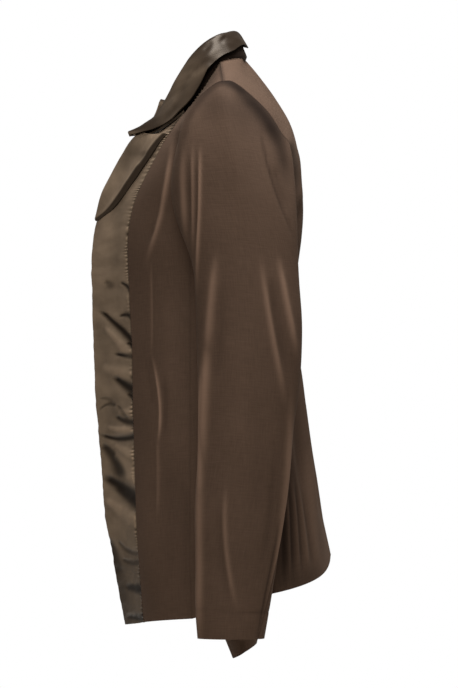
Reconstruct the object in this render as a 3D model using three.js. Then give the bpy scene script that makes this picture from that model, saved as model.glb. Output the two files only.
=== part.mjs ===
// A fitted blazer with satin front bands, lapels and collar, filled out as worn with no wearer.
// Millimetres, +Z up. The front faces -Y and the wearer's left is +X.
// The origin is level with the neck end of the shoulder seams, in the middle plane.
import * as THREE from 'three';

// Driving sizes
const clothWall = 1.6;
const satinWall = 1.2;
const seamGap = 0.3;
const armholeGap = 0.6;
const lapelLift = 2.6;
const lapelRollLift = 4;
const collarNeckGap = 2.4;
const standGap = 0.5;
const sleeveStart = -250;
const handleShare = 0.37;
const underarmDip = 18;
const underarmDipStart = 0.55;
const collarFrontHeight = 1.56;
const collarShoulder = 0.3;
const collarLean = 0.3;
const lapelRows = 9;
const lapelOpening = 0.3;
const lapelRollShare = 0.5;

// Heights run from 0 at the hem to 1 at the armhole's lowest seams and 2 at the shoulder seam.
const underarm = 1;
const shoulder = 2;
const backNeckHeight = 1.86;
const lowerHeights = [0, 0.05, 0.14, 0.25, 0.36, 0.47, 0.58, 0.69, 0.8, 0.91];
const upperHeights = [1, 1.09, 1.17, 1.26, 1.36, 1.46, 1.56, 1.66, 1.76, backNeckHeight, 1.92, 1.965, 2];
const heights = [...lowerHeights, ...upperHeights];

function table(columns, rows) {
  const names = columns.split(' ');
  return rows.map((row) => Object.fromEntries(names.map((name, i) => [name, row[i]])));
}

// Centre front edge, then the roll line, then the neck seam.
// Yaw is the direction in which the cloth leaves the edge.
const frontEdge = table('at x y z yaw', [
  [0.00, 8, -110, -644, 19],
  [0.15, 8, -122, -578, 26],
  [0.30, 7, -132.5, -514, 31],
  [0.45, 6, -137.5, -450, 33],
  [0.60, 6, -143, -385, 35],
  [0.75, 6, -146, -322, 36],
  [0.90, 6, -147.5, -258, 36],
  [1.00, 6, -147, -216, 36],
  [1.10, 6, -143.5, -188, 34],
  [1.20, 8, -135, -163, 31],
  [1.30, 13, -122, -136, 29],
  [1.42, 22, -108, -110, 28],
  [1.55, 36, -93, -89, 26],
  [1.67, 57, -67, -76, 16],
  [1.78, 71, -41, -57, 5],
  [1.88, 77, -22, -33, 2],
  [1.95, 77, -9, -13, 0],
  [2.00, 74, 0, 1.5, 0],
]);

// Seam between the front and the side panel
const sideFrontSeam = table('at x y z yaw', [
  [0.00, 186, -32, -631, 66],
  [0.15, 182, -34, -567, 66],
  [0.30, 176, -34, -503, 65],
  [0.45, 167, -34, -438, 65],
  [0.60, 157, -34, -374, 66],
  [0.75, 150, -34, -310, 66],
  [0.90, 152, -34, -246, 66],
  [1.00, 160, -34, -203, 66],
]);

const frontArmhole = table('at x y z yaw', [
  [1.00, 160, -34, -203, 66],
  [1.13, 159, -45, -178, 54],
  [1.28, 163, -51.5, -142, 40],
  [1.44, 168, -48, -108, 26],
  [1.57, 174, -43.5, -84, 14],
  [1.68, 180, -41, -68, 6],
  [1.79, 185, -33, -53, 3],
  [1.90, 191, -19.5, -39, 2],
  [1.97, 195.8, -4.5, -27.4, 1],
  [2.00, 197, 3, -25.2, 0],
]);

// Seam between the side panel and the back
const sideBackSeam = table('at x y z yaw', [
  [0.00, 174, 60, -603, 112],
  [0.15, 171, 56, -543, 111],
  [0.30, 165, 53, -483, 110],
  [0.45, 157, 51, -423, 110],
  [0.60, 149, 49, -363, 110],
  [0.75, 145, 47, -303, 114],
  [0.90, 150, 48, -243, 114],
  [1.00, 160, 50, -203, 114],
]);

const backArmhole = table('at x y z yaw', [
  [1.00, 160, 50, -203, -66],
  [1.15, 162, 60, -170, -46],
  [1.30, 166, 67, -140, -30],
  [1.42, 169.5, 74, -115, -17],
  [1.53, 172, 78, -96, -8],
  [1.64, 178, 69, -83, -7],
  [1.76, 184, 54, -60, -6],
  [1.88, 191, 30, -37, -4],
  [1.96, 195.5, 13, -25.6, -1],
  [2.00, 197, 3, -25.2, 0],
]);

const centreBack = table('at x y z yaw', [
  [0.00, 0, 126.6, -563, 0],
  [0.15, 0, 115.5, -510, 0],
  [0.30, 0, 106, -458, 0],
  [0.45, 0, 97.6, -404, 0],
  [0.60, 0, 90.3, -350, 0],
  [0.75, 0, 83, -295, 0],
  [0.90, 0, 86, -241, 0],
  [1.00, 0, 90.5, -205, 0],
  [1.15, 0, 93.6, -167, 0],
  [1.30, 0, 92.3, -132, 0],
  [1.42, 0, 88.5, -98, 0],
  [1.54, 0, 79.5, -67, 0],
  [1.66, 0, 62, -37, 0],
  [1.78, 0, 42, -10, 0],
  [backNeckHeight, 0, 28.2, 6, 0],
]);

const backNeck = table('at x y z yaw', [
  [backNeckHeight, 0, 28.2, 6, 0],
  [1.91, 34, 25.5, 6.5, -6],
  [1.96, 60, 13, 5, -4],
  [2.00, 74, 0, 1.5, 0],
]);

// Widths along the cloth from the front edge
const bandWidth = table('at width', [
  [0.00, 103],
  [0.18, 99],
  [0.35, 96],
  [0.53, 92],
  [0.70, 90],
  [0.84, 86],
  [1.00, 85],
  [1.20, 86],
  [1.40, 90],
  [1.60, 78],
  [1.80, 34],
  [2.00, 18],
]);

const lapelWidth = table('at width', [
  [1.13, 3],
  [1.19, 34],
  [1.29, 58],
  [1.42, 72],
  [1.58, 78],
]);

// Upper collar's roll line and falling edge, from the centre back to the point at the front
const collarRoll = table('at x y z', [
  [0.00, 0, 18.5, 37],
  [0.12, 34, 13, 36.5],
  [0.25, 58, -2, 32],
  [0.37, 66.5, -20, 21],
  [0.50, 67, -38, 2],
  [0.62, 62, -51, -19.5],
  [0.75, 54, -62.5, -41],
  [0.87, 46, -77, -62.5],
  [1.00, 36, -103, -78],
]);

const collarFall = table('at x y z', [
  [0.00, 0, 33, 19.4],
  [0.12, 40, 26, 21.5],
  [0.25, 68, 15.5, 14],
  [0.37, 83, 2, 7],
  [0.50, 94, -12.5, -6],
  [0.62, 100, -25, -28],
  [0.75, 102, -43, -52],
  [0.87, 83, -67, -72],
  [1.00, 38, -105, -82],
]);

// Armhole round the sleeve head: the ring angle each seam point runs to, and the way the sleeve leaves it
const frontHead = table('at angle dx dy dz reach', [
  [1.00, 132, 0.62, -0.25, -0.74, 48],
  [1.15, 112, 0.70, -0.30, -0.65, 80],
  [1.30, 93, 0.78, -0.34, -0.52, 120],
  [1.50, 68, 0.80, -0.32, -0.50, 160],
  [1.70, 42, 0.84, -0.22, -0.50, 190],
  [1.86, 19, 0.86, -0.10, -0.50, 205],
  [2.00, 0, 0.87, 0.02, -0.49, 210],
]);

const backHead = table('at angle dx dy dz reach', [
  [1.00, 228, 0.62, 0.25, -0.74, 48],
  [1.15, 248, 0.68, 0.34, -0.65, 80],
  [1.30, 266, 0.70, 0.34, -0.62, 115],
  [1.50, 291, 0.72, 0.22, -0.66, 150],
  [1.70, 317, 0.80, 0.12, -0.59, 185],
  [1.86, 340, 0.85, 0.06, -0.52, 205],
  [2.00, 360, 0.87, 0.02, -0.49, 210],
]);

const underHead = { dx: 0.72, dy: 0.05, dz: -0.69, reach: 30 };

// Sleeves below the upper arm, seen from the side and from the front
const leftSleeve = {
  end: -651,
  tilt: 0,
  line: table('at front back inner outer', [
    [0.00, -28.5, 89, 171, 262],
    [0.14, -26, 92, 171, 266],
    [0.28, -24, 89.5, 174, 268],
    [0.42, -21, 81.5, 181, 271],
    [0.60, -27, 73.5, 192, 275],
    [0.80, -27.5, 62.5, 200, 280],
    [0.90, -27.5, 57, 203, 282],
    [1.00, -25, 50, 205, 283],
  ]),
};

// The right cuff hangs lower, pressed nearly flat across, with its front corner lowest.
const rightSleeve = {
  end: -684,
  tilt: 9,
  line: table('at front back inner outer', [
    [0.00, -28.5, 89, 171, 262],
    [0.14, -26, 92, 171, 266],
    [0.28, -24, 89.5, 174, 268],
    [0.42, -21, 81.5, 181, 271],
    [0.60, -26, 72, 192, 276],
    [0.80, -17, 59, 198, 289],
    [0.90, -4, 52, 199, 298],
    [1.00, 14, 43, 200, 303],
  ]),
};

// Two-piece sleeve: the front seam stays inside the arm, and the back seam turns outwards towards the cuff.
const frontSeamAngle = 118;
const backSeamAngle = 276;
const backSeamTurn = table('at turn', [
  [0.00, -10],
  [0.60, -8],
  [0.80, 8],
  [0.90, 22],
  [1.00, 34],
]);
const frontSeamColumnHeight = 1.09;
const backSeamColumnHeight = 1.36;
const headRows = [0, 0.1, 0.24, 0.4, 0.58, 0.78];
const armRows = [0, 0.09, 0.2, 0.31, 0.42, 0.53, 0.64, 0.75, 0.85, 0.94, 1];

const bandColumns = 5;
const frontColumns = 6;
const sideColumns = 6;
const backColumns = 9;
const lapelColumns = 5;
const collarColumns = 22;
const collarRounds = 8;
const standRounds = 3;
const standColumns = 16;
const standRound = 0.4;
const standEnd = 0.64;

// Smooth value of a table's column at a place between its rows
function valueAt(rows, column, at) {
  const last = rows.length - 2;
  let i = 0;
  while (i < last && at > rows[i + 1].at) i += 1;
  const slope = (k) => {
    const before = rows[Math.max(k - 1, 0)];
    const after = rows[Math.min(k + 1, rows.length - 1)];
    return (after[column] - before[column]) / (after.at - before.at);
  };
  const span = rows[i + 1].at - rows[i].at;
  const t = THREE.MathUtils.clamp((at - rows[i].at) / span, 0, 1);
  const start = rows[i][column] * (1 + 2 * t) * (1 - t) ** 2;
  const finish = rows[i + 1][column] * (3 - 2 * t) * t ** 2;
  const bend = slope(i) * t * (1 - t) ** 2 - slope(i + 1) * t ** 2 * (1 - t);
  return start + finish + bend * span;
}

function pointAt(rows, at) {
  return new THREE.Vector3(valueAt(rows, 'x', at), valueAt(rows, 'y', at), valueAt(rows, 'z', at));
}

function heading(degrees) {
  const angle = THREE.MathUtils.degToRad(degrees);
  return new THREE.Vector3(Math.cos(angle), Math.sin(angle), 0);
}

// One row of cloth between two edges, leaving each along its yaw
function rowPoint(startRows, endRows, height, across, dip = 0) {
  const start = pointAt(startRows, height);
  const end = pointAt(endRows, height);
  const reach = handleShare * Math.hypot(end.x - start.x, end.y - start.y);
  const rise = (end.z - start.z) / 3;
  const leave = heading(valueAt(startRows, 'yaw', height)).multiplyScalar(reach).add(start);
  const arrive = heading(valueAt(endRows, 'yaw', height)).multiplyScalar(-reach).add(end);
  leave.z = start.z + rise;
  arrive.z = end.z - rise;
  const point = new THREE.CubicBezierCurve3(start, leave, arrive, end).getPoint(across);
  point.z -= dip * 4 * across * (1 - across);
  return point;
}

function frontPoint(across, height) {
  return rowPoint(frontEdge, height > underarm ? frontArmhole : sideFrontSeam, height, across);
}

function sidePoint(across, height) {
  const dip = underarmDip * THREE.MathUtils.smoothstep(height, underarmDipStart, underarm);
  return rowPoint(sideFrontSeam, sideBackSeam, height, across, dip);
}

const backSeamHeading = sideBackSeam.map((row) => ({ ...row, yaw: row.yaw - 180 }));

function backPoint(across, height) {
  const inner = height > backNeckHeight ? backNeck : centreBack;
  return rowPoint(inner, height > underarm ? backArmhole : backSeamHeading, height, across);
}

// Small steps along a surface, for its normals and for the way it runs out at an edge
const step = 0.004;
const edgeStep = 0.03;
const lengthSteps = 60;

function bareNormal(surface, across, height, side) {
  const left = Math.max(across - step, 0);
  const right = Math.min(across + step, 1);
  const under = Math.max(height - step, 0);
  const over = Math.min(height + step, surface === sidePoint ? underarm : shoulder);
  const along = surface(right, height).sub(surface(left, height));
  const up = surface(across, over).sub(surface(across, under));
  return along.cross(up).normalize().multiplyScalar(side);
}

const frontBare = (across, height) => bareNormal(frontPoint, across, height, 1);
const sideBare = (across, height) => bareNormal(sidePoint, across, height, 1);
const backBare = (across, height) => bareNormal(backPoint, across, height, -1);

// Normals are shared where two pieces meet, so that their walls end face to face.
function frontNormal(across, height) {
  const normal = frontBare(across, height);
  if (height >= shoulder) normal.add(backBare(across, shoulder));
  if (across >= 1 && height <= underarm) normal.add(sideBare(0, height));
  return normal.normalize();
}

function sideNormal(across, height) {
  const normal = sideBare(across, height);
  if (across <= 0) normal.add(frontBare(1, height));
  if (across >= 1) normal.add(backBare(1, height));
  return normal.normalize();
}

function backNormal(across, height) {
  const normal = backBare(across, height);
  if (height >= shoulder) normal.add(frontBare(across, shoulder));
  if (across >= 1 && height <= underarm) normal.add(sideBare(1, height));
  if (across <= 0 && height <= backNeckHeight) normal.x = 0;
  return normal.normalize();
}

// Share of a front row that lies within a distance of its edge, measured along the cloth
function shareOf(width, height) {
  let travelled = 0;
  let before = frontPoint(0, height);
  for (let i = 1; i <= lengthSteps; i += 1) {
    const here = frontPoint(i / lengthSteps, height);
    const length = here.distanceTo(before);
    if (travelled + length >= width) return (i - 1 + (width - travelled) / length) / lengthSteps;
    travelled += length;
    before = here;
  }
  return 1;
}

const bandShare = (height) => shareOf(valueAt(bandWidth, 'width', height), height);
const lapelShare = (height) => shareOf(valueAt(lapelWidth, 'width', height), height);

// A grid holds rows of { point, normal }. Its edges are drawn in by half a seam's gap.
function gridOf(surface, normalOf, rowHeights, columns, spanOf) {
  return rowHeights.map((height) => {
    const [from, to] = spanOf(height);
    return Array.from({ length: columns + 1 }, (_, i) => {
      const across = THREE.MathUtils.lerp(from, to, i / columns);
      return { point: surface(across, height), normal: normalOf(across, height) };
    });
  });
}

function drawIn(edge, inside, distance = seamGap / 2) {
  edge.forEach((node, i) => {
    const way = inside[i].point.clone().sub(node.point).setLength(distance);
    node.point.add(way);
  });
}

function trimmed(grid, { first = false, last = false, top = false }) {
  const columnOf = (i) => grid.map((row) => row[i]);
  const width = grid[0].length;
  if (first) drawIn(columnOf(0), columnOf(1));
  if (last) drawIn(columnOf(width - 1), columnOf(width - 2));
  if (top) drawIn(grid[grid.length - 1], grid[grid.length - 2]);
  return grid;
}

// Closed wall between two sheets of points, out and in
function wallBetween(outer, inner) {
  const rows = outer.length;
  const columns = outer[0].length;
  const top = rows - 1;
  const end = columns - 1;
  const positions = [];
  for (const sheet of [outer, inner]) {
    for (const row of sheet) {
      for (const point of row) positions.push(point.x, point.y, point.z);
    }
  }
  const at = (sheet, row, column) => (sheet * rows + row) * columns + column;
  const faces = [];
  const quad = (a, b, c, d) => faces.push(a, b, c, a, c, d);
  for (let i = 0; i < top; i += 1) {
    for (let j = 0; j < end; j += 1) {
      quad(at(0, i, j), at(0, i, j + 1), at(0, i + 1, j + 1), at(0, i + 1, j));
      quad(at(1, i, j), at(1, i + 1, j), at(1, i + 1, j + 1), at(1, i, j + 1));
    }
    quad(at(0, i, 0), at(0, i + 1, 0), at(1, i + 1, 0), at(1, i, 0));
    quad(at(0, i, end), at(1, i, end), at(1, i + 1, end), at(0, i + 1, end));
  }
  for (let j = 0; j < end; j += 1) {
    quad(at(0, 0, j), at(1, 0, j), at(1, 0, j + 1), at(0, 0, j + 1));
    quad(at(0, top, j), at(0, top, j + 1), at(1, top, j + 1), at(1, top, j));
  }
  return facingOut(positions, faces);
}

function facingOut(positions, faces) {
  const corner = (i) => new THREE.Vector3().fromArray(positions, faces[i] * 3);
  let volume = 0;
  for (let i = 0; i < faces.length; i += 3) volume += corner(i).dot(corner(i + 1).cross(corner(i + 2)));
  const turned = volume < 0 ? faces.slice().reverse() : faces;
  const geometry = new THREE.BufferGeometry();
  geometry.setAttribute('position', new THREE.Float32BufferAttribute(positions, 3));
  geometry.setIndex(turned);
  geometry.computeVertexNormals();
  return geometry;
}

// Wall under a grid's points, lifted off them by a height for each node
function wallOf(grid, thickness, side, liftOf = () => 0) {
  const mirror = (point) => point.setX(point.x * side);
  const moved = (depth) => grid.map((row, i) => row.map((node, j) => (
    mirror(node.point.clone().addScaledVector(node.normal, liftOf(i, j) - depth))
  )));
  return wallBetween(moved(0), moved(thickness));
}

const cloth = { color: 0x5a483a, roughness: 0.85, metalness: 0 };
const satin = { color: 0x6b6150, roughness: 0.4, metalness: 0 };
const blazer = new THREE.Group();

function addPiece(name, geometry, finish) {
  const piece = new THREE.Mesh(geometry, new THREE.MeshStandardMaterial(finish));
  piece.name = name;
  blazer.add(piece);
}

function addPanels(side, suffix) {
  const band = gridOf(frontPoint, frontNormal, heights, bandColumns, (h) => [0, bandShare(h)]);
  addPiece(`band_${suffix}`, wallOf(trimmed(band, { last: true, top: true }), satinWall, side), satin);

  const front = gridOf(frontPoint, frontNormal, heights, frontColumns, (h) => [bandShare(h), 1]);
  const shoulderless = trimmed(front, { first: true, top: true });
  const seamRows = heights.filter((h) => h <= underarm).length;
  drawIn(shoulderless.slice(0, seamRows).map((row) => row.at(-1)), shoulderless.map((row) => row.at(-2)));
  addPiece(`front_${suffix}`, wallOf(shoulderless, clothWall, side), cloth);

  const sideHeights = heights.filter((h) => h <= underarm);
  const under = gridOf(sidePoint, sideNormal, sideHeights, sideColumns, () => [0, 1]);
  addPiece(`side_${suffix}`, wallOf(trimmed(under, { first: true, last: true }), clothWall, side), cloth);

  const back = trimmed(gridOf(backPoint, backNormal, heights, backColumns, () => [0, 1]), { top: true });
  drawIn(back.slice(0, seamRows).map((row) => row.at(-1)), back.map((row) => row.at(-2)));
  const neckRow = heights.indexOf(backNeckHeight);
  drawIn(back.slice(0, neckRow + 1).map((row) => row[0]), back.map((row) => row[1]));
  addPiece(`back_${suffix}`, wallOf(back, clothWall, side), cloth);
}

// The lapel lies on the band, moved out from its points, and lifts towards the roll line.
function addLapel(side, suffix) {
  const first = lapelWidth[0].at;
  const last = lapelWidth.at(-1).at;
  const lapelHeights = Array.from({ length: lapelRows + 1 }, (_, i) => (
    THREE.MathUtils.lerp(first, last, i / lapelRows)
  ));
  const grid = gridOf(frontPoint, frontNormal, lapelHeights, lapelColumns, (h) => [0, lapelShare(h)]);
  const liftOf = (i, j) => {
    const roll = 1 - THREE.MathUtils.smoothstep(j / lapelColumns, 0, lapelRollShare);
    const opened = THREE.MathUtils.smoothstep(i / lapelRows, 0, lapelOpening);
    return satinWall + lapelLift + roll * opened * lapelRollLift;
  };
  addPiece(`lapel_${suffix}`, wallOf(grid, satinWall, side, liftOf), satin);
}

// Collar section: up from the neck seam, over the roll line and down to the falling edge
function neckSeamAt(along) {
  const between = THREE.MathUtils.mapLinear;
  if (along <= collarShoulder) {
    return pointAt(backNeck, between(along, 0, collarShoulder, backNeckHeight, shoulder));
  }
  return pointAt(frontEdge, between(along, collarShoulder, 1, shoulder, collarFrontHeight));
}

function collarPoint(round, along) {
  const roll = pointAt(collarRoll, along);
  const fall = pointAt(collarFall, along);
  const neck = neckSeamAt(along);
  neck.add(roll.clone().sub(neck).setLength(collarNeckGap));
  const middle = roll.clone().multiplyScalar(8).sub(neck).sub(fall).divideScalar(6);
  const lean = neck.clone().sub(fall).multiplyScalar(collarLean);
  const up = middle.clone().add(lean);
  const down = middle.clone().sub(lean);
  return new THREE.CubicBezierCurve3(neck, up, down, fall).getPoint(round);
}

function collarNormal(round, along) {
  const low = Math.max(round - step, 0);
  const high = Math.min(round + step, 1);
  const left = Math.max(along - step, 0);
  const right = Math.min(along + step, 1);
  const over = collarPoint(high, along).sub(collarPoint(low, along));
  const forward = collarPoint(round, right).sub(collarPoint(round, left));
  const normal = over.cross(forward).normalize();
  if (along <= 0) normal.x = 0;
  return normal.normalize();
}

// A strip round the whole neck, from the right front point through the centre back to the left one
function collarGrid(columns, rounds, lastRound, lastAlong) {
  return Array.from({ length: 2 * columns + 1 }, (_, i) => {
    const along = Math.abs(i / columns - 1) * lastAlong;
    const hand = i < columns ? -1 : 1;
    return Array.from({ length: rounds + 1 }, (_unused, j) => {
      const round = (j / rounds) * lastRound;
      const node = { point: collarPoint(round, along), normal: collarNormal(round, along) };
      node.point.x *= hand;
      node.normal.x *= hand;
      return node;
    });
  });
}

function addCollar() {
  addPiece('collar_upper', wallOf(collarGrid(collarColumns, collarRounds, 1, 1), satinWall, 1), satin);
  const stand = collarGrid(standColumns, standRounds, standRound, standEnd);
  const behindSatin = () => -satinWall - standGap;
  addPiece('collar_stand', wallOf(stand, clothWall, 1, behindSatin), cloth);
}

// Points round the armhole from the shoulder down the front, under the arm and up the back
function armholeRing() {
  const ring = [];
  const outwards = (surface, height) => surface(1, height).sub(surface(1 - edgeStep, height)).normalize();
  const upwards = (across) => (
    sidePoint(across, underarm).sub(sidePoint(across, underarm - edgeStep)).normalize()
  );
  const front = upperHeights.slice().reverse();
  for (const height of front) {
    const way = outwards(frontPoint, height);
    if (height === shoulder) way.add(outwards(backPoint, height));
    if (height === underarm) way.add(upwards(0));
    const head = headAt(frontHead, height);
    ring.push({ point: frontPoint(1, height), way: way.normalize(), head, height });
  }
  for (let i = 1; i < sideColumns; i += 1) {
    const across = i / sideColumns;
    ring.push({ point: sidePoint(across, underarm), way: upwards(across), head: underHeadAt(across) });
  }
  for (const height of upperHeights.slice(0, -1)) {
    const way = outwards(backPoint, height);
    if (height === underarm) way.add(upwards(1));
    const head = headAt(backHead, height);
    ring.push({ point: backPoint(1, height), way: way.normalize(), head, height });
  }
  return ring;
}

function headAt(rows, height) {
  const keys = ['angle', 'dx', 'dy', 'dz', 'reach'];
  return Object.fromEntries(keys.map((key) => [key, valueAt(rows, key, height)]));
}

// Under the arm the sleeve's way out eases from the front corner to the back corner through underHead.
function underHeadAt(across) {
  const middle = 4 * across * (1 - across);
  const mix = (key) => {
    const plain = THREE.MathUtils.lerp(frontHead[0][key], backHead[0][key], across);
    return key === 'angle' ? plain : THREE.MathUtils.lerp(plain, underHead[key], middle);
  };
  return { angle: mix('angle'), dx: mix('dx'), dy: mix('dy'), dz: mix('dz'), reach: mix('reach') };
}

function armPoint(sleeve, angle, down) {
  const value = (column) => valueAt(sleeve.line, column, down);
  const radians = THREE.MathUtils.degToRad(angle);
  const depth = (value('back') - value('front')) / 2;
  const width = (value('outer') - value('inner')) / 2;
  const back = -Math.sin(radians);
  const x = value('inner') + width + width * Math.cos(radians);
  const y = value('front') + depth + depth * back;
  const z = THREE.MathUtils.lerp(sleeveStart, sleeve.end, down) + sleeve.tilt * back * down ** 4;
  return new THREE.Vector3(x, y, z);
}

// The back seam's turn is shared out over the columns on both sides of it.
function turnAt(angle, down) {
  const turn = valueAt(backSeamTurn, 'turn', down);
  const topSpan = 360 - backSeamAngle + frontSeamAngle;
  if (angle >= frontSeamAngle && angle <= backSeamAngle) {
    return turn * THREE.MathUtils.mapLinear(angle, frontSeamAngle, backSeamAngle, 0, 1);
  }
  const past = angle > backSeamAngle ? angle - backSeamAngle : angle + 360 - backSeamAngle;
  return turn * (1 - past / topSpan);
}

function headPoint(sleeve, node, down) {
  const start = node.point.clone().addScaledVector(node.way, armholeGap);
  const end = armPoint(sleeve, node.head.angle + turnAt(node.head.angle, 0), 0);
  const leave = new THREE.Vector3(node.head.dx, node.head.dy, node.head.dz).normalize();
  const arrive = armPoint(sleeve, node.head.angle + turnAt(node.head.angle, 0.02), 0.02).sub(end).normalize();
  const first = start.clone().addScaledVector(leave, node.head.reach / 3);
  const second = end.clone().addScaledVector(arrive, -node.head.reach / 3);
  return new THREE.CubicBezierCurve3(start, first, second, end).getPoint(down);
}

function sleeveGrid(sleeve, ring) {
  const head = headRows.map((down) => ring.map((node) => headPoint(sleeve, node, down)));
  const arm = armRows.map((down) => ring.map((node) => (
    armPoint(sleeve, node.head.angle + turnAt(node.head.angle, down), down)
  )));
  const points = [...head, ...arm];
  const count = ring.length;
  return points.map((row, i) => row.map((point, j) => {
    const over = points[Math.max(i - 1, 0)][j];
    const under = points[Math.min(i + 1, points.length - 1)][j];
    const round = row[(j + 1) % count].clone().sub(row[(j + count - 1) % count]);
    const normal = round.cross(under.clone().sub(over)).normalize();
    if (i === 0) {
      normal.addScaledVector(ring[j].way, -Math.max(normal.dot(ring[j].way), 0)).normalize();
    }
    return { point, normal };
  }));
}

function addSleeve(side, suffix, sleeve) {
  const ring = armholeRing();
  const grid = sleeveGrid(sleeve, ring);
  const frontSeam = ring.findIndex((node) => node.height === frontSeamColumnHeight);
  const backSeam = ring.findLastIndex((node) => node.height === backSeamColumnHeight);
  const columns = (from, to) => grid.map((row) => {
    const around = [...row, ...row];
    return around.slice(from, to + 1).map(({ point, normal }) => ({ point: point.clone(), normal }));
  });
  const top = trimmed(columns(backSeam, frontSeam + ring.length), { first: true, last: true });
  const under = trimmed(columns(frontSeam, backSeam), { first: true, last: true });
  addPiece(`top_sleeve_${suffix}`, wallOf(top, clothWall, side), cloth);
  addPiece(`under_sleeve_${suffix}`, wallOf(under, clothWall, side), cloth);
}

for (const [side, suffix, sleeve] of [[1, 'left', leftSleeve], [-1, 'right', rightSleeve]]) {
  addPanels(side, suffix);
  addLapel(side, suffix);
  addSleeve(side, suffix, sleeve);
}
addCollar();

export default blazer;
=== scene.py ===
import math

import bpy
import numpy as np
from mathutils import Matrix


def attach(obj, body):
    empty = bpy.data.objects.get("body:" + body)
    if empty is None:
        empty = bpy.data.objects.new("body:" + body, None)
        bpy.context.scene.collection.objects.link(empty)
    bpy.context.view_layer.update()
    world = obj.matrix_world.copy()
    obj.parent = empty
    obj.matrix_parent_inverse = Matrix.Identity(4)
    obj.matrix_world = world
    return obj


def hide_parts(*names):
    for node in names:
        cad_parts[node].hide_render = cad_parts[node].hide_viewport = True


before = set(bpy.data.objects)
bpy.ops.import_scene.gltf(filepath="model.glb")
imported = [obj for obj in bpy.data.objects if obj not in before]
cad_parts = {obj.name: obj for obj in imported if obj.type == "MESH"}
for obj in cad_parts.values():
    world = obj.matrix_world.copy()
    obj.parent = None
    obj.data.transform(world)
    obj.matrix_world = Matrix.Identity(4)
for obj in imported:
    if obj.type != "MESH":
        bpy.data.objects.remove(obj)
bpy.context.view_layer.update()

print("frame loaded,", len(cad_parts), "solids")

# lengths in mm, +Z up, the front faces -Y, the wearer's left is +X


def table(columns, rows):
    return dict(zip(columns.split(), np.array(rows, float).T))


body = {
    "clothWall": 1.6,
    "satinWall": 1.2,
    "sharpEdge": 50,          # degrees past which an edge stays crisp
    "heading": 0.37,          # share of a row over which it keeps to the yaw of its edge
    "underarmDip": 18,
    "underarmDipFrom": 0.55,
    "ripple": {"wave": 120, "height": 0.5, "seed": 11},
    "backNeckHeight": 1.86,
    # heights run from 0 at the hem to 1 at the underarm and 2 at the shoulder seam
    "frontEdge": table("at x y z yaw", [
        [0.00, 8, -110, -644, 19],
        [0.15, 8, -122, -578, 26],
        [0.30, 7, -132.5, -514, 31],
        [0.45, 6, -137.5, -450, 33],
        [0.60, 6, -143, -385, 35],
        [0.75, 6, -146, -322, 36],
        [0.90, 6, -147.5, -258, 36],
        [1.00, 6, -147, -216, 36],
        [1.10, 6, -143.5, -188, 34],
        [1.20, 8, -135, -163, 31],
        [1.30, 13, -122, -136, 29],
        [1.42, 22, -108, -110, 28],
        [1.55, 36, -93, -89, 26],
        [1.67, 57, -67, -76, 16],
        [1.78, 71, -41, -57, 5],
        [1.88, 77, -22, -33, 2],
        [1.95, 77, -9, -13, 0],
        [2.00, 74, 0, 1.5, 0],
    ]),
    "sideFrontSeam": table("at x y z yaw", [
        [0.00, 186, -32, -631, 66],
        [0.15, 182, -34, -567, 66],
        [0.30, 176, -34, -503, 65],
        [0.45, 167, -34, -438, 65],
        [0.60, 157, -34, -374, 66],
        [0.75, 150, -34, -310, 66],
        [0.90, 152, -34, -246, 66],
        [1.00, 160, -34, -203, 66],
    ]),
    "frontArmhole": table("at x y z yaw", [
        [1.00, 160, -34, -203, 66],
        [1.13, 159, -45, -178, 54],
        [1.28, 163, -51.5, -142, 40],
        [1.44, 168, -48, -108, 26],
        [1.57, 174, -43.5, -84, 14],
        [1.68, 180, -41, -68, 6],
        [1.79, 185, -33, -53, 3],
        [1.90, 191, -19.5, -39, 2],
        [1.97, 195.8, -4.5, -27.4, 1],
        [2.00, 197, 3, -25.2, 0],
    ]),
    "sideBackSeam": table("at x y z yaw", [
        [0.00, 174, 60, -603, 112],
        [0.15, 171, 56, -543, 111],
        [0.30, 165, 53, -483, 110],
        [0.45, 157, 51, -423, 110],
        [0.60, 149, 49, -363, 110],
        [0.75, 145, 47, -303, 114],
        [0.90, 150, 48, -243, 114],
        [1.00, 160, 50, -203, 114],
    ]),
    "backArmhole": table("at x y z yaw", [
        [1.00, 160, 50, -203, -66],
        [1.15, 162, 60, -170, -46],
        [1.30, 166, 67, -140, -30],
        [1.42, 169.5, 74, -115, -17],
        [1.53, 172, 78, -96, -8],
        [1.64, 178, 69, -83, -7],
        [1.76, 184, 54, -60, -6],
        [1.88, 191, 30, -37, -4],
        [1.96, 195.5, 13, -25.6, -1],
        [2.00, 197, 3, -25.2, 0],
    ]),
    "centreBack": table("at x y z yaw", [
        [0.00, 0, 126.6, -563, 0],
        [0.15, 0, 115.5, -510, 0],
        [0.30, 0, 106, -458, 0],
        [0.45, 0, 97.6, -404, 0],
        [0.60, 0, 90.3, -350, 0],
        [0.75, 0, 83, -295, 0],
        [0.90, 0, 86, -241, 0],
        [1.00, 0, 90.5, -205, 0],
        [1.15, 0, 93.6, -167, 0],
        [1.30, 0, 92.3, -132, 0],
        [1.42, 0, 88.5, -98, 0],
        [1.54, 0, 79.5, -67, 0],
        [1.66, 0, 62, -37, 0],
        [1.78, 0, 42, -10, 0],
        [1.86, 0, 28.2, 6, 0],
    ]),
    "backNeck": table("at x y z yaw", [
        [1.86, 0, 28.2, 6, 0],
        [1.91, 34, 25.5, 6.5, -6],
        [1.96, 60, 13, 5, -4],
        [2.00, 74, 0, 1.5, 0],
    ]),
    "bandWidth": table("at width", [
        [0.00, 103],
        [0.18, 99],
        [0.35, 96],
        [0.53, 92],
        [0.70, 90],
        [0.84, 86],
        [1.00, 85],
        [1.20, 86],
        [1.40, 90],
        [1.60, 78],
        [1.80, 34],
        [2.00, 18],
    ]),
}
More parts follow.
